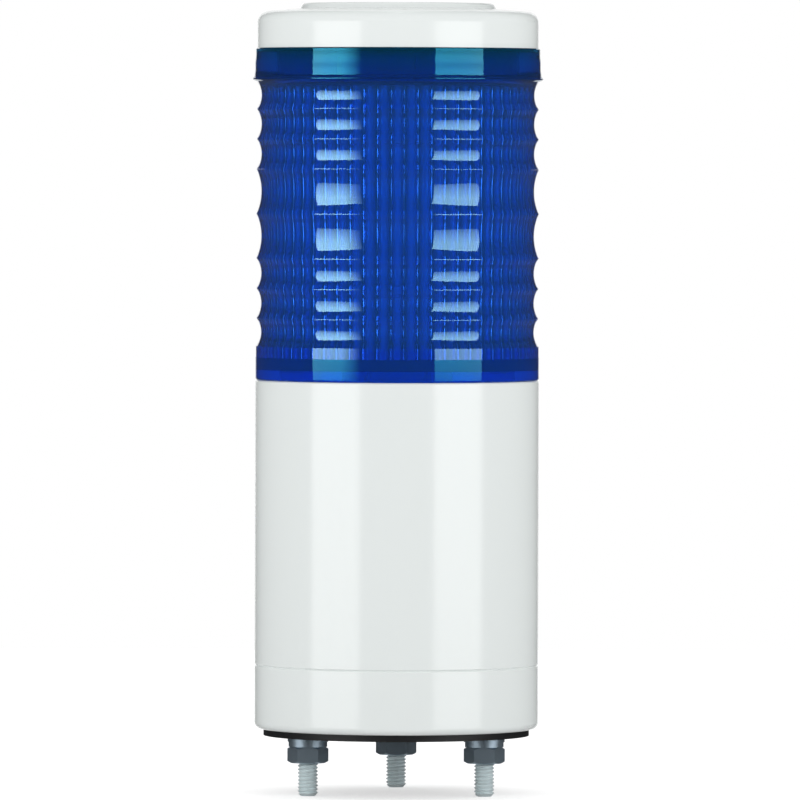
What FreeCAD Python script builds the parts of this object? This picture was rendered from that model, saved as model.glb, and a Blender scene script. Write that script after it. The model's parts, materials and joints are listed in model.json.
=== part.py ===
import FreeCAD, Part
import math
import os

# Stack light with one lens tier, in millimetres.
# The origin is on the axis at the underside of the gasket, where the panel lies. +Z points up.

# Overall sizes
outer_diameter = 56.0
wall = 2.2
gasket_thickness = 1.3
base_height = 12.6
body_height = 56.1
lens_height = 65.4
cap_height = 8.9

# Gaps between pieces
turn_gap = 0.35          # radial gap between parts that turn on each other
seat_gap = 0.3           # gap around pieces dropped into place
thread_gap = 0.05        # radial gap between a screw and its pilot hole
same_point = 1e-6        # points closer than this are one

# Twist locks: lugs on the socket run in L-shaped slots on the spigot
lock_count = 3
lock_turn = 20.0         # degrees from locked to open
lug_angle = 14.0         # degrees
lug_height = 2.0
lug_depth = 1.2
lug_play = 0.3           # above and below the lug
lug_side_play = 1.2      # degrees, at each side of the lug
lock_lip = 1.4           # spigot left between the slot and the spigot's end
base_spigot_height = 9.0
lens_spigot_height = 8.0
cap_spigot_height = 6.0

# Base
base_floor = 3.0
base_edge_radius = 1.3
seam_bevel = 0.25
core_pocket_count = 12
core_pocket_angle = 22.0
core_pocket_width = 1.8
core_pocket_roof = 2.0   # left between a pocket and the ledge

# Mounting studs and their fasteners, M4
stud_inset = 8.0         # from the outer surface to a stud's axis
stud_count = 3
stud_length = 20.0
stud_radius = 2.0
stud_pitch_radius = 1.77  # the thread inside the nut, where both threads meet
stud_shoulder_radius = 2.4
stud_reach = 11.5        # below the gasket
stud_tip_bevel = 0.6
stud_head_flats = 7.0
stud_head_height = 2.8
stud_boss_radius = 5.6
washer_bore_radius = 2.15
flat_washer_radius = 4.0
flat_washer_thickness = 0.8
spring_washer_radius = 3.8
spring_washer_thickness = 1.0
spring_washer_split = 0.8
spring_washer_slant = 30.0  # degrees
nut_flats = 7.0
nut_height = 3.2

# Gasket and cable inlet
gasket_inset = 1.8       # from the outer surface
gasket_hole_radius = 11.0
gasket_stud_hole_radius = 2.7
inlet_radius = 7.0
cable_radius = 3.0
grommet_flange = 1.6     # reach past the inlet hole
grommet_collar = 1.4     # height above the floor

# Flat seals: one in the base ledge, one in the body rim, one in the lens collar
seal_width = 0.9
seal_thickness = 0.7

# Lens, outside
lens_edge_bevel = 0.4
lens_lower_band = 6.7
lens_upper_band = 6.5
wide_scallop = 8.8       # the two scallops in the middle
scallop = 5.9            # the two beyond them on each side
scallop_depth = 1.0
lip_reach = 0.65         # past the outer radius
lip_height = 0.7
upper_band_reach = 0.3
upper_band_taper = 0.25

# Lens, inside
lens_wall = 2.5
lens_collar_wall = 4.0
lens_collar_height = 5.6
flute_count = 60
flute_radius = 1.6
flute_depth = 0.55
flute_margin = 3.3       # from the lens's lower edge to the flutes

# Cap
cap_inset = 0.3          # from the outer surface
cap_corner_radius = 2.2
cap_shoulder_height = 7.1
cap_shoulder_rise = 0.7
cap_shoulder_width = 8.4  # from the cap's side to the raised disc
cap_disc_taper = 0.6
cap_disc_edge_radius = 0.8

# Chassis inside the body tube
shelf_width = 2.0
shelf_thickness = 2.0
chassis_thickness = 2.0
chassis_drop = 0.7       # below the lens spigot
chassis_boss_radius = 3.2
chassis_boss_height = 6.5
chassis_screw_margin = 0.2  # from the head to the board's edge
board_screw_inset = 6.0  # from the power board's edge
standoff_radius = 3.0
standoff_height = 8.0
rib_width = 2.0

# Screws, M3 with pan heads
screw_count = 3
screw_radius = 1.5
screw_clearance_radius = 1.7
screw_head_radius = 2.7
screw_head_height = 2.0
screw_head_bevel = 0.7
chassis_screw_length = 8.0
board_screw_length = 6.0
column_screw_length = 9.0
cross_width = 0.8
cross_depth = 1.0

# Boards and their parts
board_thickness = 1.6
power_board_gap = 3.8    # to the body tube
terminal_poles = 3
terminal_pitch = 5.0
terminal_depth = 8.2
terminal_height = 10.0
terminal_wire_radius = 1.5
terminal_wire_depth = 3.3
terminal_wire_drop = 4.0  # from the board to a wire hole's axis
terminal_well_depth = 3.0
terminal_screw_radius = 1.5
terminal_inset = 9.0     # from the power board's edge
capacitor_radius = 5.0
capacitor_height = 14.0
capacitor_place = (6.5, 8.0)
fuse_radius = 4.2
fuse_height = 7.6
fuse_place = (-7.5, 7.5)
part_bevel = 0.4
rectifier_size = (8.2, 6.4, 2.6)
rectifier_inset = 11.0   # from the power board's edge
rectifier_y = -0.4
chip_size = (4.9, 4.0, 1.5)
chip_inset = 11.0        # from the power board's edge
chip_y = -0.6
chip_leg_count = 4
chip_leg_pitch = 1.27
chip_leg_reach = 1.0
chip_leg_width = 0.42
chip_leg_height = 0.7
header_size = (10.4, 4.4)
header_inset = 10.4      # from the LED board's edge

# LED column, with a strip of LEDs on each of its sides
column_sides = 6
column_flats = 18.0
column_wall = 1.8
column_rise = 1.5        # above the strips
column_floor = 2.4
column_boss_radius = 3.4
column_boss_height = 8.0
strip_width = 8.6
strip_thickness = 1.0
strip_margin = 2.0       # above the top LED
led_count = 5            # on each strip
led_pitch = 10.5
led_size = 5.0
led_height = 1.4
led_window_radius = 1.9
led_window_depth = 0.4

# Heights of the main joints
base_bottom = gasket_thickness
base_top = base_bottom + base_height
body_top = base_top + body_height
lens_top = body_top + lens_height
cap_top = lens_top + cap_height

# Radii of the sockets and of the spigots that turn in them
outer_radius = outer_diameter / 2
socket_radius = outer_radius - wall
spigot_radius = socket_radius - turn_gap
spigot_bore_radius = spigot_radius - wall
collar_radius = outer_radius - lens_collar_wall
cap_spigot_radius = collar_radius - turn_gap
cap_spigot_bore_radius = cap_spigot_radius - wall
cap_radius = outer_radius - cap_inset
cap_rim_bore_radius = cap_radius - wall
cap_disc_radius = cap_radius - cap_shoulder_width
gasket_radius = outer_radius - gasket_inset
lens_bore_radius = outer_radius - lens_wall
power_board_radius = socket_radius - power_board_gap
led_board_radius = spigot_bore_radius - turn_gap
terminal_y = terminal_inset - power_board_radius
rectifier_place = (rectifier_inset - power_board_radius, rectifier_y)
chip_place = (power_board_radius - chip_inset, chip_y)
header_y = header_inset - led_board_radius
seal_middle_radius = (socket_radius + outer_radius) / 2
cap_seal_middle_radius = (cap_rim_bore_radius + cap_radius) / 2

origin = FreeCAD.Vector(0, 0, 0)
right = FreeCAD.Vector(1, 0, 0)
forward = FreeCAD.Vector(0, 1, 0)
up = FreeCAD.Vector(0, 0, 1)


def polar(radius, degrees, z=0.0):
    """Point at a radius and an angle about the axis."""
    turn = math.radians(degrees)
    return FreeCAD.Vector(radius * math.cos(turn), radius * math.sin(turn), z)


def places(radius, count, start):
    """Points evenly spaced on a circle about the axis."""
    return [polar(radius, start + 360 / count * index) for index in range(count)]


def outline(corners):
    """Closed face in the XZ plane from corners (r, z) or (r, z, rounding radius)."""
    points = [FreeCAD.Vector(corner[0], 0, corner[1]) for corner in corners]
    radii = [corner[2] if len(corner) > 2 else 0.0 for corner in corners]
    edges = []
    ends = []
    for index, point in enumerate(points):
        before = points[index - 1] - point
        after = points[(index + 1) % len(points)] - point
        if radii[index] == 0.0:
            ends.append((point, point))
            continue
        before.normalize()
        after.normalize()
        half = before.getAngle(after) / 2
        setback = radii[index] / math.tan(half)
        inward = before + after
        inward.normalize()
        middle = point + inward * (radii[index] / math.sin(half) - radii[index])
        start = point + before * setback
        finish = point + after * setback
        edges.append(Part.Arc(start, middle, finish).toShape())
        ends.append((start, finish))
    for index in range(len(points)):
        start = ends[index - 1][1]
        finish = ends[index][0]
        if start.distanceToPoint(finish) > same_point:
            edges.append(Part.LineSegment(start, finish).toShape())
    return Part.Face(Part.Wire(Part.__sortEdges__(edges)))


def turned(corners):
    """Solid of revolution about the axis."""
    return outline(corners).revolve(origin, up, 360)


def rectangle(left, right, bottom, top):
    """Corners of a rectangle in the XZ plane."""
    return [(left, bottom), (right, bottom), (right, top), (left, top)]


def ring(inner_radius, outer_radius, bottom, top):
    """Plain ring with a rectangular section."""
    return turned(rectangle(inner_radius, outer_radius, bottom, top))


def ring_sector(inner_radius, outer_radius, bottom, top, start, sweep):
    """Part of a ring, from a start angle and over a sweep in degrees."""
    section = outline(rectangle(inner_radius, outer_radius, bottom, top))
    section.rotate(origin, up, start)
    return section.revolve(origin, up, sweep)


def rod(radius, bottom, top, x=0.0, y=0.0):
    """Upright cylinder."""
    return Part.makeCylinder(radius, top - bottom, FreeCAD.Vector(x, y, bottom))


def rods(radius, bottom, top, centres):
    """An upright cylinder at each centre."""
    return [rod(radius, bottom, top, centre.x, centre.y) for centre in centres]


def block(size_x, size_y, bottom, top, x=0.0, y=0.0):
    """Upright block centred on x and y."""
    corner = FreeCAD.Vector(x - size_x / 2, y - size_y / 2, bottom)
    return Part.makeBox(size_x, size_y, top - bottom, corner)


def hexagon(flats, bottom, top, x=0.0, y=0.0):
    """Hexagonal prism with one flat facing along Y."""
    corner_radius = flats / 2 / math.cos(math.radians(30))
    points = [polar(corner_radius, 60 * side, bottom) + FreeCAD.Vector(x, y, 0) for side in range(7)]
    return Part.Face(Part.makePolygon(points)).extrude(FreeCAD.Vector(0, 0, top - bottom))


def around(shape, count, start=0.0):
    """Copies of a shape evenly spaced about the axis."""
    copies = []
    for index in range(count):
        copy = shape.copy()
        copy.rotate(origin, up, start + 360 / count * index)
        copies.append(copy)
    return copies


def save(node, shapes):
    """Writes one node: a single solid, or a group of separate ones."""
    shape = Part.makeCompound(shapes) if len(shapes) > 1 else shapes[0]
    shape.exportStep("parts/" + node + ".step")


def lugs(bore_radius, bottom, first_angle):
    """Lock lugs that stand inward from a socket's bore, with their roots sunk in the wall."""
    root = wall / 2
    lug = ring_sector(
        bore_radius - lug_depth, bore_radius + root, bottom, bottom + lug_height, -lug_angle / 2, lug_angle
    )
    return around(lug, lock_count, first_angle)


def slots(bore_radius, run_side, end, lug_bottom, first_angle):
    """L-shaped cuts in a spigot for the lugs of a socket.

    The run goes lock_turn degrees to run_side (1 or -1) from the locked place, and the
    entry then leads to the spigot's end.
    """
    floor_radius = bore_radius - lug_depth - turn_gap
    clear_radius = bore_radius + wall
    half = lug_angle / 2 + lug_side_play
    low = lug_bottom - lug_play
    high = lug_bottom + lug_height + lug_play
    run_start = -half if run_side > 0 else -half - lock_turn
    run = ring_sector(floor_radius, clear_radius, low, high, run_start, 2 * half + lock_turn)
    entry = ring_sector(
        floor_radius,
        clear_radius,
        min(low, end),
        max(high, end),
        run_side * lock_turn - half,
        2 * half,
    )
    return around(run.fuse(entry), lock_count, first_angle)


# Where each lock's lugs lie
base_lock_angle = 30.0
lens_lock_angle = 90.0
cap_lock_angle = 30.0
base_spigot_top = base_top + base_spigot_height
lens_spigot_bottom = body_top - lens_spigot_height
cap_spigot_bottom = lens_top - cap_spigot_height
base_lug_bottom = base_spigot_top - lock_lip - lug_play - lug_height
lens_lug_bottom = lens_spigot_bottom + lock_lip + lug_play
cap_lug_bottom = cap_spigot_bottom + lock_lip + lug_play

# The studs' and screws' places
stud_angle = 90.0
chassis_screw_angle = 30.0
board_screw_angle = 90.0
stud_places = places(outer_radius - stud_inset, stud_count, stud_angle)
chassis_screw_reach = led_board_radius - screw_head_radius - chassis_screw_margin
chassis_screw_places = places(chassis_screw_reach, screw_count, chassis_screw_angle)
board_screw_places = places(power_board_radius - board_screw_inset, screw_count, board_screw_angle)

# The stud's head seats in its boss so that the tip reaches stud_reach below the gasket
stud_head_bottom = stud_length - stud_reach
stud_head_top = stud_head_bottom + stud_head_height
stud_boss_top = stud_head_top + seat_gap
floor_top = base_bottom + base_floor

# The washers and the nut hang in a stack below the gasket
flat_washer_bottom = -flat_washer_thickness
spring_washer_bottom = flat_washer_bottom - spring_washer_thickness
nut_bottom = spring_washer_bottom - nut_height

# The chassis and the boards
chassis_top = lens_spigot_bottom - chassis_drop
chassis_bottom = chassis_top - chassis_thickness
power_board_top = chassis_bottom - standoff_height
power_board_bottom = power_board_top - board_thickness
led_board_top = chassis_top + board_thickness

# The LEDs are centred on the ribbed stretch of the lens
ribbed_bottom = body_top + lens_lower_band
ribbed_top = lens_top - lens_upper_band
ribbed_middle = (ribbed_bottom + ribbed_top) / 2
led_heights = [ribbed_middle + (index - (led_count - 1) / 2) * led_pitch for index in range(led_count)]
strip_top = led_heights[-1] + led_size / 2 + strip_margin
column_top = strip_top + column_rise


def base_housing():
    """Moulded base: floor, cored wall, ledge, stud bosses and the spigot with its lock slots."""
    shape = turned([
        (0, base_bottom),
        (outer_radius, base_bottom, base_edge_radius),
        (outer_radius, base_top - seam_bevel),
        (outer_radius - seam_bevel, base_top),
        (spigot_radius, base_top),
        (spigot_radius, base_spigot_top),
        (spigot_bore_radius, base_spigot_top),
        (spigot_bore_radius, floor_top),
        (0, floor_top),
    ])
    shape = shape.fuse(rods(stud_boss_radius, base_bottom, stud_boss_top, stud_places))
    cuts = rods(stud_shoulder_radius + seat_gap / 2, 0, stud_head_bottom, stud_places)
    flats = stud_head_flats + seat_gap
    for place in stud_places:
        cuts.append(hexagon(flats, stud_head_bottom, stud_boss_top + seat_gap, place.x, place.y))
    pocket_outer = outer_radius - wall
    pocket = ring_sector(
        pocket_outer - core_pocket_width,
        pocket_outer,
        0,
        base_top - core_pocket_roof - seal_thickness,
        -core_pocket_angle / 2,
        core_pocket_angle,
    )
    keep_clear = Part.makeCompound(rods(stud_boss_radius, 0, base_top, stud_places))
    for copy in around(pocket, core_pocket_count, 180 / core_pocket_count):
        cuts.append(copy.cut(keep_clear))
    cuts.append(rod(inlet_radius, 0, base_top))
    cuts.append(seal_ring(base_top, seal_middle_radius))
    cuts += slots(socket_radius, 1, base_spigot_top, base_lug_bottom, base_lock_angle)
    return shape.cut(cuts)


def seal_ring(top, middle_radius):
    """Flat seal flush with the face it is set in."""
    half = seal_width / 2
    return ring(middle_radius - half, middle_radius + half, top - seal_thickness, top)


def base_gasket():
    """Flat gasket with the inlet opening and the stud holes."""
    shape = ring(gasket_hole_radius, gasket_radius, 0, gasket_thickness)
    return shape.cut(rods(gasket_stud_hole_radius, 0, gasket_thickness, stud_places))


def cable_grommet():
    """Grommet that grips the floor's edge around the inlet, with a bore for the cable."""
    neck = inlet_radius - thread_gap
    flange = inlet_radius + grommet_flange
    return turned([
        (cable_radius, 0),
        (flange, 0),
        (flange, base_bottom),
        (neck, base_bottom),
        (neck, floor_top),
        (flange, floor_top),
        (flange - grommet_collar / 2, floor_top + grommet_collar),
        (cable_radius, floor_top + grommet_collar),
    ])


def mounting_stud(place):
    """Hex-headed stud. The thread is at its pitch radius where the washers and the nut cover it."""
    shank = turned([
        (0, -stud_reach),
        (stud_radius - stud_tip_bevel, -stud_reach),
        (stud_radius, -stud_reach + stud_tip_bevel),
        (stud_radius, nut_bottom),
        (stud_pitch_radius, nut_bottom),
        (stud_pitch_radius, gasket_thickness),
        (stud_shoulder_radius, gasket_thickness),
        (stud_shoulder_radius, stud_head_bottom),
        (0, stud_head_bottom),
    ])
    shank.translate(FreeCAD.Vector(place.x, place.y, 0))
    head = hexagon(stud_head_flats, stud_head_bottom, stud_head_top, place.x, place.y)
    return shank.fuse(head.common(crown(stud_head_flats, stud_head_bottom, stud_head_top, place, False)))


def crown(flats, bottom, top, place, both_ends):
    """Turned blank that bevels a hexagon's corners at the top, and at the bottom too if asked."""
    corner_radius = flats / 2 / math.cos(math.radians(30))
    bevel_radius = flats / 2 * 0.97
    drop = (corner_radius - bevel_radius) * math.tan(math.radians(30))
    corners = [(0, top), (bevel_radius, top), (corner_radius, top - drop)]
    if both_ends:
        corners += [(corner_radius, bottom + drop), (bevel_radius, bottom), (0, bottom)]
    else:
        corners += [(corner_radius, bottom), (0, bottom)]
    blank = turned(corners)
    blank.translate(FreeCAD.Vector(place.x, place.y, 0))
    return blank


def hex_nut(place):
    """Nut bevelled at both faces, with a countersunk bore at its pitch radius."""
    shape = hexagon(nut_flats, nut_bottom, spring_washer_bottom, place.x, place.y)
    shape = shape.common(crown(nut_flats, nut_bottom, spring_washer_bottom, place, True))
    bore = stud_pitch_radius + thread_gap
    mouth = stud_radius + seat_gap / 2
    depth = mouth - bore
    cutter = turned([
        (0, nut_bottom),
        (mouth, nut_bottom),
        (bore, nut_bottom + depth),
        (bore, spring_washer_bottom - depth),
        (mouth, spring_washer_bottom),
        (0, spring_washer_bottom),
    ])
    cutter.translate(FreeCAD.Vector(place.x, place.y, 0))
    return shape.cut(cutter)


def washer(place, radius=flat_washer_radius, bottom=flat_washer_bottom, thickness=flat_washer_thickness):
    """Plain washer on a stud, a flat one unless other sizes are given."""
    shape = ring(washer_bore_radius, radius, bottom, bottom + thickness)
    shape.translate(FreeCAD.Vector(place.x, place.y, 0))
    return shape


def spring_washer(place):
    """Washer split at a slant."""
    shape = washer(place, spring_washer_radius, spring_washer_bottom, spring_washer_thickness)
    half = spring_washer_thickness
    split = block(spring_washer_split, spring_washer_radius * 2, -half, half, 0, spring_washer_radius)
    split.rotate(origin, forward, spring_washer_slant)
    split.translate(FreeCAD.Vector(place.x, place.y, spring_washer_bottom + spring_washer_thickness / 2))
    return shape.cut(split)


def body_tube():
    """Moulded tube with lock lugs at both ends, a shelf for the chassis and its screw bosses."""
    shape = turned([
        (socket_radius, base_top),
        (outer_radius - seam_bevel, base_top),
        (outer_radius, base_top + seam_bevel),
        (outer_radius, body_top - seam_bevel),
        (outer_radius - seam_bevel, body_top),
        (socket_radius, body_top),
    ])
    shelf_bottom = chassis_bottom - shelf_thickness
    additions = [ring(socket_radius - shelf_width, socket_radius + wall / 2, shelf_bottom, chassis_bottom)]
    boss_bottom = chassis_bottom - chassis_boss_height
    for index, place in enumerate(chassis_screw_places):
        additions.append(rod(chassis_boss_radius, boss_bottom, chassis_bottom, place.x, place.y))
        reach = socket_radius + wall / 2 - place.Length
        rib = block(reach, rib_width, boss_bottom, chassis_bottom, place.Length + reach / 2)
        rib.rotate(origin, up, chassis_screw_angle + 360 / screw_count * index)
        additions.append(rib)
    additions += lugs(socket_radius, base_lug_bottom, base_lock_angle)
    additions += lugs(socket_radius, lens_lug_bottom, lens_lock_angle)
    shape = shape.fuse(additions)
    cuts = rods(screw_radius + thread_gap, boss_bottom, chassis_bottom, chassis_screw_places)
    cuts.append(seal_ring(body_top, seal_middle_radius))
    return shape.cut(cuts)


def scallop_arc(low, high, depth):
    """Concave arc between two ridges at the outer radius."""
    start = FreeCAD.Vector(outer_radius, 0, low)
    middle = FreeCAD.Vector(outer_radius - depth, 0, (low + high) / 2)
    finish = FreeCAD.Vector(outer_radius, 0, high)
    return Part.Arc(start, middle, finish).toShape()


def lens_outline():
    """Section of the lens: spigot, lower band, scallops between ridges, lip, upper band and collar."""
    steps = [wide_scallop, wide_scallop + scallop, wide_scallop + 2 * scallop]
    ridges = [ribbed_middle - step for step in reversed(steps)]
    ridges += [ribbed_middle] + [ribbed_middle + step for step in steps]
    heights = [ribbed_bottom] + ridges + [ribbed_top]
    edges = [scallop_arc(low, high, scallop_depth) for low, high in zip(heights, heights[1:])]
    bore = lens_bore_radius
    flange_top = body_top + wall
    collar_bottom = lens_top - lens_collar_height
    upper_radius = outer_radius + upper_band_reach
    corners = [
        (outer_radius, ribbed_top),
        (outer_radius + lip_reach, ribbed_top + lip_height / 2),
        (outer_radius + lip_reach, ribbed_top + lip_height * 0.8),
        (upper_radius, ribbed_top + lip_height * 1.5),
        (upper_radius - upper_band_taper, lens_top),
        (collar_radius, lens_top),
        (collar_radius, collar_bottom),
        (bore, collar_bottom - (bore - collar_radius)),
        (bore, flange_top + (bore - spigot_bore_radius)),
        (spigot_bore_radius, flange_top),
        (spigot_bore_radius, lens_spigot_bottom),
        (spigot_radius, lens_spigot_bottom),
        (spigot_radius, body_top),
        (outer_radius - lens_edge_bevel, body_top),
        (outer_radius, body_top + lens_edge_bevel * 1.5),
        (outer_radius, ribbed_bottom),
    ]
    points = [FreeCAD.Vector(r, 0, z) for r, z in corners]
    edges += [Part.LineSegment(a, b).toShape() for a, b in zip(points, points[1:])]
    return Part.Face(Part.Wire(Part.__sortEdges__(edges)))


def fluted_core(bottom, top):
    """Prism that cuts the flutes into the lens's bore: an arc for each flute, an arc for each land."""
    bore = lens_bore_radius
    centre = bore + flute_depth - flute_radius
    cosine = (centre ** 2 + bore ** 2 - flute_radius ** 2) / (2 * centre * bore)
    half = math.degrees(math.acos(cosine))
    pitch = 360 / flute_count
    edges = []
    for index in range(flute_count):
        middle = index * pitch
        flute = Part.Arc(
            polar(bore, middle - half, bottom),
            polar(bore + flute_depth, middle, bottom),
            polar(bore, middle + half, bottom),
        )
        land = Part.Arc(
            polar(bore, middle + half, bottom),
            polar(bore, middle + pitch / 2, bottom),
            polar(bore, middle + pitch - half, bottom),
        )
        edges += [flute.toShape(), land.toShape()]
    return Part.Face(Part.Wire(edges)).extrude(FreeCAD.Vector(0, 0, top - bottom))


def lens():
    """The lens: turned section, lock lugs in the collar, flutes in the bore and slots in the spigot."""
    shape = lens_outline().revolve(origin, up, 360)
    flute_bottom = body_top + flute_margin + (lens_bore_radius - spigot_bore_radius)
    flute_top = lens_top - lens_collar_height - (lens_bore_radius - collar_radius)
    cuts = [fluted_core(flute_bottom, flute_top)]
    cuts += slots(socket_radius, -1, lens_spigot_bottom, lens_lug_bottom, lens_lock_angle)
    cuts.append(seal_ring(lens_top, cap_seal_middle_radius))
    shape = shape.cut(cuts)
    return shape.fuse(lugs(collar_radius, cap_lug_bottom, cap_lock_angle))


def top_cap():
    """Moulded cap with an even wall: rounded shoulder, raised disc, rim, and a spigot with lock slots."""
    shoulder_z = lens_top + cap_shoulder_height
    disc_z = shoulder_z + cap_shoulder_rise
    ceiling = shoulder_z - wall
    disc_hollow_radius = cap_disc_radius - wall
    shape = turned([
        (0, cap_top - wall),
        (disc_hollow_radius, cap_top - wall),
        (disc_hollow_radius, ceiling),
        (cap_spigot_bore_radius, ceiling),
        (cap_spigot_bore_radius, cap_spigot_bottom),
        (cap_spigot_radius, cap_spigot_bottom),
        (cap_spigot_radius, ceiling),
        (cap_rim_bore_radius, ceiling),
        (cap_rim_bore_radius, lens_top),
        (cap_radius, lens_top),
        (cap_radius, shoulder_z, cap_corner_radius),
        (cap_disc_radius, disc_z),
        (cap_disc_radius - cap_disc_taper, cap_top, cap_disc_edge_radius),
        (0, cap_top),
    ])
    cuts = slots(collar_radius, -1, cap_spigot_bottom, cap_lug_bottom, cap_lock_angle)
    return shape.cut(cuts)


def chassis():
    """Disc on the shelf of the body tube, with standoffs for the power board below it."""
    shape = rod(socket_radius - seat_gap, chassis_bottom, chassis_top)
    shape = shape.fuse(rods(standoff_radius, power_board_top, chassis_bottom, board_screw_places))
    cuts = rods(screw_clearance_radius, chassis_bottom, chassis_top, chassis_screw_places + [origin])
    cuts += rods(screw_radius + thread_gap, power_board_top, chassis_bottom, board_screw_places)
    opening_x = header_size[0] + 2 * seat_gap
    opening_y = header_size[1] + 2 * seat_gap
    cuts.append(block(opening_x, opening_y, chassis_bottom, chassis_top, 0, header_y))
    return shape.cut(cuts)


def screw(length, head_seat, place, head_up):
    """Screw with a bevelled head and a cross recess. head_seat is the height of the head's underside."""
    shape = turned([
        (0, -length),
        (screw_radius, -length),
        (screw_radius, 0),
        (screw_head_radius, 0),
        (screw_head_radius, screw_head_height - screw_head_bevel),
        (screw_head_radius - screw_head_bevel, screw_head_height),
        (0, screw_head_height),
    ])
    recess_bottom = screw_head_height - cross_depth
    recess = block(cross_width, screw_head_radius, recess_bottom, screw_head_height)
    crossing = recess.copy()
    crossing.rotate(origin, up, 90)
    shape = shape.cut([recess, crossing])
    if not head_up:
        shape.rotate(origin, right, 180)
    shape.translate(FreeCAD.Vector(place.x, place.y, head_seat))
    return shape


def power_board():
    """Round board under the standoffs."""
    shape = rod(power_board_radius, power_board_bottom, power_board_top)
    return shape.cut(rods(screw_clearance_radius, power_board_bottom, power_board_top, board_screw_places))


def led_base_board():
    """Round board on the chassis, under the LED column."""
    shape = rod(led_board_radius, chassis_top, led_board_top)
    holes = rods(screw_clearance_radius, chassis_top, led_board_top, chassis_screw_places + [origin])
    return shape.cut(holes)


def terminal_block():
    """Block of screw clamps under the power board: a wire hole and a screw well for each pole."""
    width = terminal_poles * terminal_pitch
    bottom = power_board_bottom - terminal_height
    well_top = bottom + terminal_well_depth
    shape = block(width, terminal_depth, bottom, power_board_bottom, 0, terminal_y)
    cuts = []
    for x in terminal_x():
        mouth = FreeCAD.Vector(x, terminal_y - terminal_depth / 2, power_board_bottom - terminal_wire_drop)
        cuts.append(Part.makeCylinder(terminal_wire_radius, terminal_wire_depth, mouth, forward))
        cuts.append(rod(terminal_screw_radius + thread_gap, bottom, well_top, x, terminal_y))
    return shape.cut(cuts)


def terminal_x():
    """Places of the poles along the terminal block."""
    return [(index - (terminal_poles - 1) / 2) * terminal_pitch for index in range(terminal_poles)]


def terminal_screw(x):
    """Slotted clamp screw in its well."""
    well_bottom = power_board_bottom - terminal_height
    well_top = well_bottom + terminal_well_depth
    low = well_bottom + seat_gap
    shape = rod(terminal_screw_radius, low, well_top, x, terminal_y)
    slot = block(terminal_screw_radius * 2, cross_width, low, low + cross_depth, x, terminal_y)
    return shape.cut(slot)


def hung_can(radius, height, place):
    """Round part hanging from the power board, with a bevelled lower edge."""
    bottom = power_board_bottom - height
    shape = turned([
        (0, bottom),
        (radius - part_bevel, bottom),
        (radius, bottom + part_bevel),
        (radius, power_board_bottom),
        (0, power_board_bottom),
    ])
    shape.translate(FreeCAD.Vector(place[0], place[1], 0))
    return shape


def hung_block(size, place):
    """Square part hanging from the power board, with bevelled lower edges."""
    bottom = power_board_bottom - size[2]
    shape = block(size[0], size[1], bottom, power_board_bottom, place[0], place[1])
    lower = [edge for edge in shape.Edges if max(v.Z for v in edge.Vertexes) < bottom + same_point]
    return shape.makeChamfer(part_bevel, lower)


def driver_chip():
    """Small chip with a row of legs along each long side."""
    shape = hung_block(chip_size, chip_place)
    legs = []
    for index in range(chip_leg_count):
        x = chip_place[0] + (index - (chip_leg_count - 1) / 2) * chip_leg_pitch
        width = chip_size[1] + 2 * chip_leg_reach
        leg_bottom = power_board_bottom - chip_leg_height
        legs.append(block(chip_leg_width, width, leg_bottom, power_board_bottom, x, chip_place[1]))
    return shape.fuse(legs)


def led_column():
    """Hexagonal tube with a closed foot and a boss for the screw that holds it."""
    foot = led_board_top
    shape = hexagon(column_flats, foot, column_top)
    hollow = hexagon(column_flats - 2 * column_wall, foot + column_floor, column_top)
    shape = shape.cut(hollow).fuse(rod(column_boss_radius, foot, foot + column_boss_height))
    return shape.cut(rod(screw_radius + thread_gap, foot, foot + column_boss_height - cross_depth))


def led_strips():
    """Narrow boards standing on the base board, one against each face of the column."""
    x = column_flats / 2 + strip_thickness / 2
    strip = block(strip_thickness, strip_width, led_board_top, strip_top, x)
    return around(strip, column_sides, 180 / column_sides)


def led_blocks():
    """Square LEDs with a round window, spread along each strip."""
    x = column_flats / 2 + strip_thickness
    blocks = []
    for z in led_heights:
        led = block(led_height, led_size, z - led_size / 2, z + led_size / 2, x + led_height / 2)
        mouth = FreeCAD.Vector(x + led_height - led_window_depth, 0, z)
        window = Part.makeCylinder(led_window_radius, led_window_depth, mouth, right)
        blocks += around(led.cut(window), column_sides, 180 / column_sides)
    return blocks


os.makedirs("parts", exist_ok=True)

save("base_housing", [base_housing()])
save("base_gasket", [base_gasket()])
save("cable_grommet", [cable_grommet()])
save("mounting_studs", [mounting_stud(place) for place in stud_places])
save("flat_washers", [washer(place) for place in stud_places])
save("spring_washers", [spring_washer(place) for place in stud_places])
save("hex_nuts", [hex_nut(place) for place in stud_places])
save("body_seal", [seal_ring(base_top, seal_middle_radius)])
save("body_tube", [body_tube()])
save("lens_seal", [seal_ring(body_top, seal_middle_radius)])
save("chassis", [chassis()])
save("chassis_screws", [screw(chassis_screw_length, led_board_top, p, True) for p in chassis_screw_places])
save("power_board", [power_board()])
save("board_screws", [screw(board_screw_length, power_board_bottom, p, False) for p in board_screw_places])
save("terminal_block", [terminal_block()])
save("terminal_screws", [terminal_screw(x) for x in terminal_x()])
save("smoothing_capacitor", [hung_can(capacitor_radius, capacitor_height, capacitor_place)])
save("fuse", [hung_can(fuse_radius, fuse_height, fuse_place)])
save("bridge_rectifier", [hung_block(rectifier_size, rectifier_place)])
save("driver_chip", [driver_chip()])
save("board_header", [block(header_size[0], header_size[1], power_board_top, chassis_top, 0, header_y)])
save("led_base_board", [led_base_board()])
save("led_column", [led_column()])
save("column_screw", [screw(column_screw_length, chassis_bottom, origin, False)])
save("led_boards", led_strips())
save("leds", led_blocks())
save("lens", [lens()])
save("cap_seal", [seal_ring(lens_top, cap_seal_middle_radius)])
save("top_cap", [top_cap()])
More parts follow.
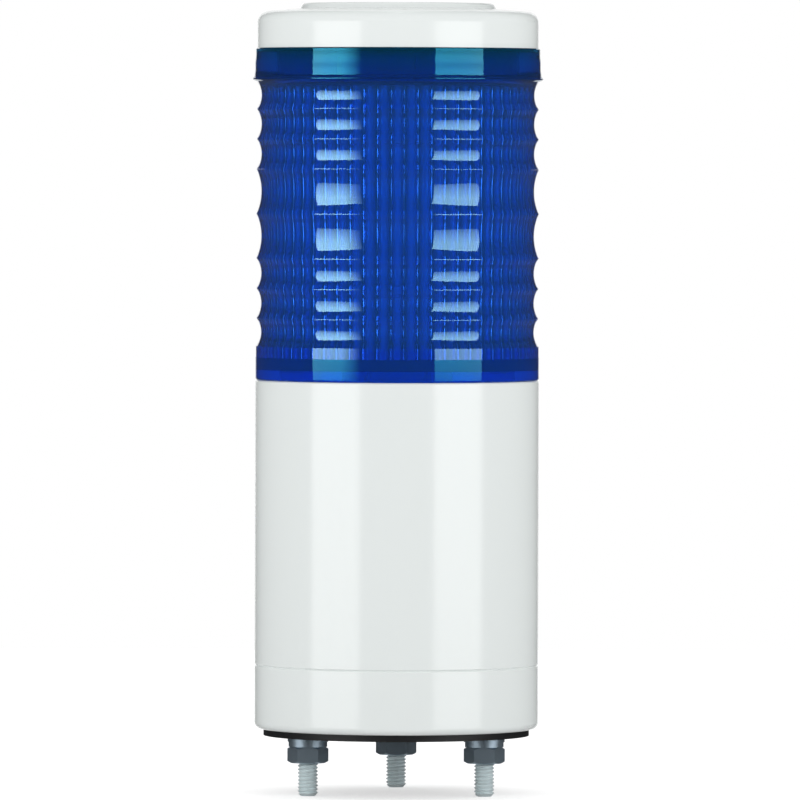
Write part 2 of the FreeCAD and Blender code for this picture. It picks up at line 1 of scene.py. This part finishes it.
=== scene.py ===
import json
import math
import bpy
import numpy as np
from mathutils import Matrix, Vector


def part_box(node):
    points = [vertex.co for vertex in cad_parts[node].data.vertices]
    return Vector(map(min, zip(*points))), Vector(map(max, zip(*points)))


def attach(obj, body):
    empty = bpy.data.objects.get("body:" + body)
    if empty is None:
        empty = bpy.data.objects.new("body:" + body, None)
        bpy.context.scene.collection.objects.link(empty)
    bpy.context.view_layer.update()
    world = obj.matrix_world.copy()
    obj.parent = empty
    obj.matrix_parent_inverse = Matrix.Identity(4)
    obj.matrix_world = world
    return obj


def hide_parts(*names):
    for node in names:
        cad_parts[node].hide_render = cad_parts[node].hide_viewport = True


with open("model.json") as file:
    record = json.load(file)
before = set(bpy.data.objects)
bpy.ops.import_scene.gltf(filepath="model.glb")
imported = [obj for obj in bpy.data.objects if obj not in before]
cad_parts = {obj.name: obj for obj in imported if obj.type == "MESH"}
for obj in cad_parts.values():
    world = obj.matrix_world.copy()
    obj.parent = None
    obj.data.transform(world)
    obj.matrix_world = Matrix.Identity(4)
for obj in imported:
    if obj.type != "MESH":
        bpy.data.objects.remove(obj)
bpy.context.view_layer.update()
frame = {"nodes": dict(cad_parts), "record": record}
nodes = frame["nodes"]
scene = bpy.context.scene
mm = 0.001

# Heights and radii that several pieces share
lensLow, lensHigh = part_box("lens")
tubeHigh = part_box("body_tube")[1]
capSealLow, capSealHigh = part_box("cap_seal")
studLow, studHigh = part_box("mounting_studs")
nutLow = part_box("hex_nuts")[0]
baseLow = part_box("base_housing")[0]
outerRadius = tubeHigh.x
print("stage: frame loaded")


def addObject(name, data):
    # an object at the origin, linked to the scene
    piece = bpy.data.objects.new(name, data)
    scene.collection.objects.link(piece)
    return piece


def smoothMesh(name, points, faces, sharpAngle=180):
    # object from points and faces, shaded smooth except over edges sharper than sharpAngle degrees
    mesh = bpy.data.meshes.new(name)
    mesh.from_pydata(points.reshape(-1, 3).tolist(), [], list(faces))
    mesh.polygons.foreach_set("use_smooth", np.ones(len(mesh.polygons), bool))
    mesh.set_sharp_from_angle(angle=math.radians(sharpAngle))
    return addObject(name, mesh)


def ringFaces(rows, columns, closeRows, closeColumns=True):
    # quads between neighbouring rows of a grid whose columns run round the axis
    row = np.arange(rows if closeRows else rows - 1)[:, None]
    column = np.arange(columns if closeColumns else columns - 1)[None, :]
    start = row * columns
    above = (row + 1) % rows * columns
    beside = (column + 1) % columns
    corners = np.broadcast_arrays(start + column, start + beside, above + beside, above + column)
    return np.stack(corners, -1).reshape(-1, 4)


def ringPoints(radius, height, angle):
    # x = radius cos angle, y = radius sin angle, z = height
    radius, height, angle = np.broadcast_arrays(radius, height, angle)
    return np.stack([radius * np.cos(angle), radius * np.sin(angle), height], -1)


def axisOf(tree, vector, axis):
    # socket with one coordinate of a vector
    split = tree.nodes.new("ShaderNodeSeparateXYZ")
    tree.links.new(vector, split.inputs["Vector"])
    return split.outputs[axis]


def addRange(tree, value, fromRange, toRange):
    # node that carries a value from one range to another and holds it at both ends
    spread = tree.nodes.new("ShaderNodeMapRange")
    spread.inputs["From Min"].default_value = fromRange[0]
    spread.inputs["From Max"].default_value = fromRange[1]
    spread.inputs["To Min"].default_value = toRange[0]
    spread.inputs["To Max"].default_value = toRange[1]
    tree.links.new(value, spread.inputs["Value"])
    return spread


def addMath(tree, operation, first, second):
    # socket with the result for two sockets
    node = tree.nodes.new("ShaderNodeMath")
    node.operation = operation
    tree.links.new(first, node.inputs[0])
    tree.links.new(second, node.inputs[1])
    return node.outputs[0]


def heightRange(tree, heights, values):
    # socket that goes from one value to the other between two heights on the piece
    place = tree.nodes.new("ShaderNodeTexCoord")
    height = axisOf(tree, place.outputs["Object"], "Z")
    return addRange(tree, height, heights, values).outputs["Result"]


def addAttribute(tree, name):
    # socket with a value that the mesh carries at its points
    node = tree.nodes.new("ShaderNodeAttribute")
    node.attribute_name = name
    return node.outputs["Fac"]


noiseLook = {
    "mottleDetail": 4,
    "grainDetail": 3,
    "grainFineness": 4,            # the grain is this much finer than the mottling
}


def addNoise(tree, scale, detail):
    # socket with a noise that is fixed to the piece
    place = tree.nodes.new("ShaderNodeTexCoord")
    noise = tree.nodes.new("ShaderNodeTexNoise")
    noise.inputs["Scale"].default_value = scale
    noise.inputs["Detail"].default_value = detail
    tree.links.new(place.outputs["Object"], noise.inputs["Vector"])
    return noise.outputs["Fac"]


def newMaterial(name, colour, roughness, metallic=0.0, specular=0.5, bump=0.0, mottle=0.0, scale=300.0):
    # principled finish; bump is the height of a fine grain, mottle the spread of the roughness
    material = bpy.data.materials.new(name)
    material.use_nodes = True
    tree = material.node_tree
    shader = tree.nodes["Principled BSDF"]
    shader.inputs["Base Color"].default_value = (*colour, 1)
    shader.inputs["Metallic"].default_value = metallic
    shader.inputs["Roughness"].default_value = roughness
    shader.inputs["Specular IOR Level"].default_value = specular
    if mottle:
        noise = addNoise(tree, scale, noiseLook["mottleDetail"])
        spread = addRange(tree, noise, (0, 1), (roughness - mottle, roughness + mottle))
        tree.links.new(spread.outputs["Result"], shader.inputs["Roughness"])
    if bump:
        grain = addNoise(tree, scale * noiseLook["grainFineness"], noiseLook["grainDetail"])
        relief = tree.nodes.new("ShaderNodeBump")
        relief.inputs["Distance"].default_value = bump
        tree.links.new(grain, relief.inputs["Height"])
        tree.links.new(relief.outputs["Normal"], shader.inputs["Normal"])
    return material


lensLook = {
    "lowerBand": 6.7 * mm,         # plain band below the ribs
    "upperBand": 6.5 * mm,         # plain band above them
    "wideScallop": 8.8 * mm,       # the two scallops in the middle
    "scallop": 5.9 * mm,           # the two beyond them on each side
    "scallopDepth": 1.0 * mm,
    "scallopRows": 20,
    "ridgeRound": 0.5 * mm,        # radius over each ridge
    "bandRows": 33,
    "bandStart": 1.5,              # foot of the upper band, in lip heights
    "bandTilt": 0.25 * mm,         # the upper band leans in by this
    "bandReach": 0.3 * mm,         # and stands out by this
    "bandWave": 0.03 * mm,         # half the height of its two gentle swells
    "lipHeight": 0.7 * mm,
    "lipCorners": (0.3, 0.5, 0.8),  # heights of the lip's lower corners, in lip heights
    "lipRound": 0.12 * mm,
    "edgeRound": 0.45 * mm,        # lower edge
    "edgeRows": 6,
    "rimRound": 0.2 * mm,          # upper edge
    "wall": 2.5 * mm,
    "collarWall": 4.0 * mm,
    "collarHeight": 5.6 * mm,
    "spigotInset": 2.55 * mm,      # from the outer radius
    "spigotBoreInset": 4.75 * mm,
    "flange": 2.2 * mm,            # thickness where the lens sits on the body
    "fluteFoot": 4.5 * mm,         # from the body's rim to the flutes
    "fluteRows": 7,
    "fluteCount": 60,
    "fluteSteps": 6,
    "fluteRadius": 1.6 * mm,
    "fluteDepth": 0.55 * mm,
    "paintedCuspShade": 0.95,             # painted shade: how much darker the colour is made between two flutes, darkest at the cusps
    "polishStart": 0.1 * mm,       # from the flutes' foot to the polished stretch
    "sealWidth": 0.9 * mm,
    "seatGap": 0.02 * mm,          # between the plastic and what touches it
    "sharpAngle": 30,
}


def ribbedRows(bottom, top):
    # circular arcs from ridge to ridge, scallopDepth deep, with a small circle over each ridge
    look = lensLook
    middle = (bottom + top) / 2
    steps = look["wideScallop"] + look["scallop"] * np.arange(3)
    ridges = np.concatenate([middle - steps[::-1], [middle], middle + steps])
    ends = np.concatenate([[bottom], ridges, [top]])
    half = (np.diff(ends) / 2)[:, None]
    bend = (half ** 2 + look["scallopDepth"] ** 2) / (2 * look["scallopDepth"])
    slope = np.arcsin(half / bend)
    # rows crowd towards the ridges
    turn = slope * np.sin(np.linspace(-math.pi / 2, math.pi / 2, look["scallopRows"] + 1))[None, :-1]
    height = (ends[:-1, None] + half + bend * np.sin(turn)).ravel()
    arc = (outerRadius - look["scallopDepth"] + bend * (1 - np.cos(turn))).ravel()
    slopes = np.broadcast_to(slope, turn.shape).ravel()
    offset = np.abs(height[:, None] - ridges[None, :]).min(1)
    ball = look["ridgeRound"]
    crown = outerRadius - ball / np.cos(slopes) + np.sqrt(np.maximum(ball ** 2 - offset ** 2, 0))
    radius = np.where(offset < ball * np.sin(slopes), crown, arc)
    return np.stack([radius, height], -1)


def upperBandRows(foot, head):
    # a line that leans in, less bandWave (1 - cos) twice over its height
    look = lensLook
    rise = np.linspace(0, 1, look["bandRows"])
    wave = look["bandWave"] * (np.cos(4 * math.pi * rise) - 1)
    radius = outerRadius + look["bandReach"] - look["bandTilt"] * rise + wave
    return list(zip(radius, foot + (head - foot) * rise))


def lensProfile():
    # closed section of the lens, up the outside and down the inside, with its polished and its fluted rows
    look = lensLook
    gap = look["seatGap"]
    outer, bottom, top = outerRadius, lensLow.z, lensHigh.z
    seat = tubeHigh.z + gap
    spigot = outer - look["spigotInset"]
    spigotBore = outer - look["spigotBoreInset"]
    bore = outer - look["wall"]
    collar = outer - look["collarWall"]
    ribTop = top - look["upperBand"]
    lip = min(lensHigh.x, lensHigh.y)
    lipEdge = lip - look["lipRound"]
    lipRise = look["lipHeight"]
    lowCorner, midCorner, highCorner = [ribTop + share * lipRise for share in look["lipCorners"]]
    bandTop = outer + look["bandReach"] - look["bandTilt"] - look["rimRound"]
    fluteBottom = tubeHigh.z + look["fluteFoot"]
    fluteTop = top - look["collarHeight"] - (look["collarWall"] - look["wall"])
    sealOuter = capSealHigh.x + gap
    sealInner = capSealHigh.x - look["sealWidth"] - gap
    sealFloor = capSealLow.z - gap
    edge = look["edgeRound"]
    turn = np.linspace(0, math.pi / 2, look["edgeRows"])
    foot = [(spigotBore, bottom), (spigot, bottom), (spigot, seat)]
    foot += list(zip(outer - edge + edge * np.sin(turn), seat + edge - edge * np.cos(turn)))
    foot += [(outer, fluteBottom)]
    ribs = ribbedRows(tubeHigh.z + look["lowerBand"], ribTop)
    head = [(outer, ribTop), (lipEdge, lowCorner), (lip, midCorner), (lip, highCorner)]
    head += [(lipEdge, ribTop + lipRise)]
    head += upperBandRows(ribTop + look["bandStart"] * lipRise, top - look["rimRound"])
    head += [(bandTop, top)]
    groove = [(sealOuter, top), (sealOuter, sealFloor), (sealInner, sealFloor), (sealInner, top)]
    inside = [(collar, top), (collar, top - look["collarHeight"]), (bore - gap, fluteTop + gap)]
    flutes = [(bore, height) for height in np.linspace(fluteTop, fluteBottom, look["fluteRows"])]
    heel = [(bore - gap, fluteBottom - gap), (spigotBore, tubeHigh.z + look["flange"])]
    plain = groove + inside
    stretches = [foot, [(outer, fluteBottom + look["polishStart"])], ribs, head, plain, flutes, heel]
    counts = [len(stretch) for stretch in stretches]
    polished = np.repeat([0, 1, 1, 0, 0, 0, 0], counts)
    fluted = np.repeat([0, 0, 0, 0, 0, 1, 0], counts)
    return np.vstack(stretches), polished, fluted


def fluteColumns():
    # angle, depth and place across the flute (-1 to 1) of each column: a circle cuts fluteDepth into the bore
    look = lensLook
    bore = outerRadius - look["wall"]
    radius = look["fluteRadius"]
    centre = bore + look["fluteDepth"] - radius
    half = math.acos((centre ** 2 + bore ** 2 - radius ** 2) / (2 * centre * bore))
    across = np.linspace(-half, half, look["fluteSteps"] + 1)
    reach = centre * np.cos(across) + np.sqrt(np.maximum(radius ** 2 - (centre * np.sin(across)) ** 2, 0))
    middles = 2 * math.pi / look["fluteCount"] * np.arange(look["fluteCount"])
    angle = (middles[:, None] + across).ravel()
    return angle, np.tile(reach - bore, look["fluteCount"]), np.tile(across / half, look["fluteCount"])


def storeValue(piece, name, values):
    # one value for each point of the mesh
    attribute = piece.data.attributes.new(name, "FLOAT", "POINT")
    attribute.data.foreach_set("value", values.ravel().astype(np.float32))


def makeLens():
    # the section turned round the axis; the bore's rows move out by the depth of the flutes
    profile, polished, fluted = lensProfile()
    angle, depth, place = fluteColumns()
    radius = profile[:, :1] + fluted[:, None] * depth
    faces = ringFaces(len(profile), len(angle), True)
    points = ringPoints(radius, profile[:, 1:], angle)
    piece = smoothMesh("blueLens", points, faces, lensLook["sharpAngle"])
    storeValue(piece, "polish", np.repeat(polished, len(angle)))
    # painted shade: the colour darkens from each flute's middle towards its cusps
    storeValue(piece, "paintedFluteShade", 1 - fluted[:, None] * lensLook["paintedCuspShade"] * np.abs(place))
    piece.data.materials.append(blueLensMaterial())
    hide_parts("lens")
    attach(piece, "lens")
    print("stage: lens made,", 2 * len(faces), "triangles")


lensFinish = {
    "tintAndPaintedShade": [                   # share of the height above the body's rim, and the colour there; the stops from 0.91 up are painted shade that darkens the upper band towards its top
        (0.0, (0.03, 0.19, 1.0)),
        (0.09, (0.03, 0.19, 1.0)),
        (0.11, (0.04, 0.25, 0.98)),
        (0.88, (0.04, 0.25, 0.98)),
        (0.91, (0.03, 0.14, 0.55)),
        (0.96, (0.02, 0.17, 0.48)),
        (1.0, (0.01, 0.17, 0.28)),
    ],
    "clear": 0.86,                 # share of the light that passes, the rest is scattered in the plastic
    "absorb": (0.40, 0.60, 0.85),
    "density": 500.0,              # per metre of plastic
    "ior": 1.58,
    "roughness": 0.03,
    "gloss": (0.08, 0.75, 1.0),    # colour of the reflections from the plastic
    "coatIor": 1.4,
}


def blueLensMaterial():
    # clear plastic, tinted by height with painted shade on the upper band, with painted shade between two
    # flutes and a clear coat on the ribs
    material = bpy.data.materials.new("blueLensPlastic")
    material.use_nodes = True
    tree = material.node_tree
    shader = tree.nodes["Principled BSDF"]
    ramp = tree.nodes.new("ShaderNodeValToRGB")
    stops = ramp.color_ramp.elements
    for index, (share, colour) in enumerate(lensFinish["tintAndPaintedShade"]):
        # a new ramp has two stops already
        stop = stops[index] if index < 2 else stops.new(share)
        stop.position = share
        stop.color = (*colour, 1)
    # the ramp gives the blue tint by height and the painted shade of the upper band
    tree.links.new(heightRange(tree, (tubeHigh.z, lensHigh.z), (0, 1)), ramp.inputs["Fac"])
    # painted shade between the flutes scales the colour down
    darken = tree.nodes.new("ShaderNodeVectorMath")
    darken.operation = "SCALE"
    tree.links.new(ramp.outputs["Color"], darken.inputs[0])
    tree.links.new(addAttribute(tree, "paintedFluteShade"), darken.inputs["Scale"])
    tree.links.new(darken.outputs["Vector"], shader.inputs["Base Color"])
    shader.inputs["Roughness"].default_value = lensFinish["roughness"]
    shader.inputs["Transmission Weight"].default_value = lensFinish["clear"]
    shader.inputs["IOR"].default_value = lensFinish["ior"]
    shader.inputs["Specular Tint"].default_value = (*lensFinish["gloss"], 1)
    shader.inputs["Coat IOR"].default_value = lensFinish["coatIor"]
    shader.inputs["Coat Roughness"].default_value = lensFinish["roughness"]
    tree.links.new(addAttribute(tree, "polish"), shader.inputs["Coat Weight"])
    absorb = tree.nodes.new("ShaderNodeVolumeAbsorption")
    absorb.inputs["Color"].default_value = (*lensFinish["absorb"], 1)
    absorb.inputs["Density"].default_value = lensFinish["density"]
    tree.links.new(absorb.outputs["Volume"], tree.nodes["Material Output"].inputs["Volume"])
    return material


studLook = {
    "radius": 2.0 * mm,
    "coveredRadius": 1.77 * mm,    # inside the nut
    "shoulderRadius": 2.4 * mm,
    "circle": 20.0 * mm,           # radius of the circle that the studs stand on
    "turns": (90, 210, 330),       # degrees round that circle
    "pitch": 0.7 * mm,
    "threadDepth": 0.36 * mm,
    "threadCrest": 0.05,           # half the crest's width, in pitches
    "threadFlank": 2.5,            # how steeply the thread falls, in depths a pitch
    "rowStep": 0.07 * mm,
    "columns": 60,
    "tipBevel": 0.6 * mm,
    "headFlats": 7.0 * mm,
    "headHeight": 2.8 * mm,
    "headBevel": 0.35 * mm,
    "sharpAngle": 40,
    "finish": {"colour": (0.80, 0.90, 0.92), "roughness": 0.5, "metallic": 0.4, "mottle": 0.06},
}


def studRows():
    # radius against height and angle: a ridge that climbs one pitch a turn, then shank, shoulder and hexagon
    look = studLook
    angle = 2 * math.pi * np.arange(look["columns"]) / look["columns"]
    climb = np.arange(studLow.z, nutLow.z, look["rowStep"])
    phase = (climb[:, None] / look["pitch"] - angle / (2 * math.pi)) % 1
    valley = np.clip((np.abs(phase - 0.5) - look["threadCrest"]) * look["threadFlank"], 0, 1)
    thread = look["radius"] - look["threadDepth"] * valley
    thread = np.minimum(thread, (look["radius"] - look["tipBevel"]) + (climb - studLow.z)[:, None])
    hexagon = look["headFlats"] / 2 / np.cos((angle + math.pi / 6) % (math.pi / 3) - math.pi / 6)
    bevelled = np.minimum(hexagon, look["headFlats"] / 2)
    headBottom = studHigh.z - look["headHeight"]
    shank = np.full_like(angle, look["coveredRadius"])
    shoulder = np.full_like(angle, look["shoulderRadius"])
    rest = [(shank, nutLow.z), (shank, baseLow.z), (shoulder, baseLow.z), (shoulder, headBottom),
            (bevelled, headBottom), (hexagon, headBottom + look["headBevel"]),
            (hexagon, studHigh.z - look["headBevel"]), (bevelled, studHigh.z)]
    radius = np.vstack([thread] + [row for row, height in rest])
    height = np.concatenate([climb, [height for row, height in rest]])
    return radius, height, angle


def makeStuds():
    # one stud as a closed grid with a fan at each end, repeated round the circle
    radius, height, angle = studRows()
    rows, columns = radius.shape
    shape = ringPoints(radius, height[:, None], angle).reshape(-1, 3)
    around = np.arange(columns)
    beside = (around + 1) % columns
    last = (rows - 1) * columns
    tip = np.full(columns, rows * columns)
    lowFan = np.stack([beside, around, tip], -1)
    highFan = np.stack([last + around, last + beside, tip + 1], -1)
    points = np.vstack([shape, [[0, 0, height[0]], [0, 0, height[-1]]]])
    quads = ringFaces(rows, columns, False)
    fans = np.vstack([lowFan, highFan])
    places = []
    faces = []
    for index, turn in enumerate(studLook["turns"]):
        side = math.radians(turn)
        centre = studLook["circle"] * np.array([math.cos(side), math.sin(side), 0])
        places.append(points + centre)
        faces += (quads + index * len(points)).tolist() + (fans + index * len(points)).tolist()
    piece = smoothMesh("threadedStuds", np.vstack(places), faces, studLook["sharpAngle"])
    piece.data.materials.append(newMaterial("zincThread", **studLook["finish"]))
    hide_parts("mounting_studs")
    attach(piece, "base")
    print("stage: studs made,", len(places) * (2 * len(quads) + len(fans)), "triangles")


finishes = {
    "white_plastic": newMaterial("whitePlastic", (0.82, 0.86, 0.85), 0.16, specular=0.55,
                                 mottle=0.03, scale=60),
    "black_rubber": newMaterial("blackRubber", (0.012, 0.013, 0.014), 0.5, bump=0.01 * mm, scale=400),
    "zinc_plate": newMaterial("zincPlate", (0.50, 0.62, 0.72), 0.42, metallic=0.9, mottle=0.08),
    "screw_steel": newMaterial("screwSteel", (0.55, 0.56, 0.58), 0.3, metallic=1.0, mottle=0.05),
    "inner_plastic": newMaterial("innerPlastic", (0.78, 0.80, 0.80), 0.4),
    "circuit_board": newMaterial("circuitBoard", (0.75, 0.78, 0.78), 0.35, mottle=0.05),
    "black_plastic": newMaterial("blackPlastic", (0.02, 0.02, 0.022), 0.35, bump=0.005 * mm),
    "terminal_plastic": newMaterial("terminalPlastic", (0.05, 0.22, 0.10), 0.4),
    "capacitor_sleeve": newMaterial("capacitorSleeve", (0.02, 0.03, 0.06), 0.3),
    "led_package": newMaterial("ledPackage", (0.85, 0.84, 0.78), 0.3),
}


def dressNodes():
    # each node of the frame wears the finish of its own slot
    for part in frame["record"]["subparts"]:
        finish = finishes.get(part["material_slot"])
        slots = nodes[part["node"]].data.materials
        if finish is not None and len(slots) > 0:
            slots[0] = finish
    print("stage: nodes dressed")


studio = {
    "ambient": 1.21,               # world level for matt surfaces, at the sides
    "ceiling": 0.42,               # the same from straight above
    "ceilingStart": 0.4,           # sine of the elevation where it starts to fall
    "boxes": {                     # radiance of the left and right softbox, distance, half height, tilt
        "matt": (0.6, 0.6, 1.06, 20.5, 4.5),
        "clear": (6.0, 4.5, 1.03, 20.5, 4.5),
        "lensGloss": (7.5, 5.5, 1.0, 20.5, 4.5),
        "gloss": (2.6, 2.6, 0.97, 8, -2),
    },
    "boxTarget": 0.1,              # height of the point that the boxes face
    "boxFoot": 0.3,                # brightness at the lower edge of a fading box
    "boxFull": 0.65,               # share of its height where it is fully bright
    "boxFade": (0.381, 0.001),     # share of the left and right box that fades towards the camera, never 0
    "boxTurn": 51,                 # degrees to each side of the camera
    "boxSpread": 21,               # half angle, sideways
    "flagRadius": 3.2,
    "flagGrid": (33, 65),          # rows and columns
    "flagRise": 1.56,              # radians up and down, just short of the poles
    "flagOpening": 14,             # half angle of the opening behind the object
    "flagHeights": (-1.2, 0.1),    # between these heights the flags' brightness changes
    "flagLevels": (0.08, 0.03),    # brightness at the lower and the upper of them
    "floorReach": 0.6,
    "floorGap": 0.01 * mm,         # below the studs
    "floorColour": 0.8,
    "floorGlow": 0.5,
}


def addSoftbox(side, kind):
    # rectangular lamp at one side of the camera that faces the object
    left, right, distance, rise, lift = studio["boxes"][kind]
    turn = math.radians(studio["boxTurn"]) * side
    tilt = math.radians(lift)
    lamp = bpy.data.lights.new("softbox", "AREA")
    lamp.shape = "RECTANGLE"
    lamp.size = 2 * distance * math.tan(math.radians(studio["boxSpread"]))
    lamp.size_y = 2 * distance * math.tan(math.radians(rise))
    lamp.energy = math.pi * lamp.size * lamp.size_y * (left if side < 0 else right)
    if kind in ("clear", "lensGloss"):
        addFade(lamp, side)
    holder = addObject("softbox", lamp)
    away = Vector((math.sin(turn) * math.cos(tilt), -math.cos(turn) * math.cos(tilt), math.sin(tilt)))
    holder.location = Vector((0, 0, studio["boxTarget"])) + away * distance
    holder.rotation_euler = away.to_track_quat("Z", "Y").to_euler()
    holder.visible_camera = False
    holder.visible_diffuse = kind == "matt"
    holder.visible_glossy = kind in ("gloss", "lensGloss")
    holder.visible_transmission = kind == "clear"
    if kind in ("gloss", "lensGloss"):
        linkLamp(holder, "INCLUDE" if kind == "lensGloss" else "EXCLUDE")


def linkLamp(holder, state):
    # the lamp lights the lens alone, or all the rest
    receivers = bpy.data.collections.new("litByBox")
    receivers.objects.link(bpy.data.objects["blueLens"])
    receivers.collection_objects[0].light_linking.link_state = state
    holder.light_linking.receiver_collection = receivers


def addFade(lamp, side):
    # the box is dimmer at its foot and towards the camera
    lamp.use_nodes = True
    tree = lamp.node_tree
    place = tree.nodes.new("ShaderNodeNewGeometry").outputs["Parametric"]
    rise = addRange(tree, axisOf(tree, place, "Y"), (0, studio["boxFull"]), (studio["boxFoot"], 1))
    leftFade, rightFade = studio["boxFade"]
    inward = (1, 1 - leftFade) if side < 0 else (0, rightFade)
    across = addRange(tree, axisOf(tree, place, "X"), inward, (0, 1))
    both = addMath(tree, "MULTIPLY", rise.outputs["Result"], across.outputs["Result"])
    tree.links.new(both, tree.nodes["Emission"].inputs["Strength"])


def addWorld():
    # white to the camera, to reflections and to clear plastic; matt surfaces get ambient and ceiling
    world = bpy.data.worlds.new("studio")
    scene.world = world
    world.use_nodes = True
    world.cycles.sampling_method = "NONE"
    tree = world.node_tree
    background = tree.nodes["Background"]
    background.inputs["Color"].default_value = (1, 1, 1, 1)
    path = tree.nodes.new("ShaderNodeLightPath")
    mirrored = addMath(tree, "MAXIMUM", path.outputs["Is Camera Ray"], path.outputs["Is Glossy Ray"])
    white = addMath(tree, "MAXIMUM", mirrored, path.outputs["Is Transmission Ray"])
    place = tree.nodes.new("ShaderNodeTexCoord")
    elevation = axisOf(tree, place.outputs["Generated"], "Z")
    matt = addRange(tree, elevation, (studio["ceilingStart"], 1), (studio["ambient"], studio["ceiling"]))
    level = addRange(tree, white, (0, 1), (0, 1))
    tree.links.new(matt.outputs["Result"], level.inputs["To Min"])
    tree.links.new(level.outputs["Result"], background.inputs["Strength"])


def addFlags():
    # dark sphere with an opening behind the object, seen by gloss only
    rows, columns = studio["flagGrid"]
    opening = math.radians(studio["flagOpening"])
    azimuth = np.linspace(math.pi / 2 + opening, math.pi * 5 / 2 - opening, columns)
    rise = np.linspace(-studio["flagRise"], studio["flagRise"], rows)[:, None]
    points = ringPoints(studio["flagRadius"] * np.cos(rise), studio["flagRadius"] * np.sin(rise), azimuth)
    piece = smoothMesh("darkFlags", points, ringFaces(rows, columns, False, False))
    material = bpy.data.materials.new("darkCloth")
    material.use_nodes = True
    tree = material.node_tree
    tree.nodes.remove(tree.nodes["Principled BSDF"])
    glow = tree.nodes.new("ShaderNodeEmission")
    level = heightRange(tree, studio["flagHeights"], studio["flagLevels"])
    tree.links.new(level, glow.inputs["Strength"])
    tree.links.new(glow.outputs["Emission"], tree.nodes["Material Output"].inputs["Surface"])
    piece.data.materials.append(material)
    piece.visible_camera = False
    piece.visible_diffuse = False
    piece.visible_transmission = False
    piece.visible_shadow = False


def addFloor():
    # pale square just under the studs; it glows for the camera only, so that it meets the background
    level = studLow.z - studio["floorGap"]
    corners = np.array([(-1, -1), (1, -1), (1, 1), (-1, 1)]) * studio["floorReach"]
    points = np.column_stack([corners, np.full(4, level)])
    piece = smoothMesh("paleFloor", points, np.array([[0, 1, 2, 3]]))
    material = newMaterial("paleFloor", (studio["floorColour"],) * 3, 1.0, specular=0.0)
    tree = material.node_tree
    shader = tree.nodes["Principled BSDF"]
    shader.inputs["Emission Color"].default_value = (1, 1, 1, 1)
    path = tree.nodes.new("ShaderNodeLightPath")
    glow = addRange(tree, path.outputs["Is Camera Ray"], (0, 1), (0, studio["floorGlow"]))
    tree.links.new(glow.outputs["Result"], shader.inputs["Emission Strength"])
    piece.data.materials.append(material)
    piece.visible_glossy = False


cameraPlace = {
    "lens": 477,                   # mm
    "sensor": 36,                  # mm
    "distance": 2.09,
    "aside": 0.00042,
    "eye": 0.1153,
    "target": 0.0661,              # height in the middle of the frame
    "roll": -0.17,                 # degrees
    "farthest": 20,
}


def addCamera():
    # level with the lens, tilted down to the middle of the object
    lens = bpy.data.cameras.new("camera")
    lens.lens = cameraPlace["lens"]
    lens.sensor_width = cameraPlace["sensor"]
    lens.clip_end = cameraPlace["farthest"]
    camera = addObject("camera", lens)
    distance = cameraPlace["distance"]
    camera.location = (cameraPlace["aside"], -distance, cameraPlace["eye"])
    dip = math.atan((cameraPlace["eye"] - cameraPlace["target"]) / distance)
    camera.rotation_euler = (math.pi / 2 - dip, math.radians(cameraPlace["roll"]), 0)
    scene.camera = camera


makeLens()
makeStuds()
dressNodes()
for side in (-1, 1):
    for kind in studio["boxes"]:
        addSoftbox(side, kind)
addWorld()
addFlags()
addFloor()
addCamera()
scene.view_settings.view_transform = "Standard"
print("stage: studio ready")
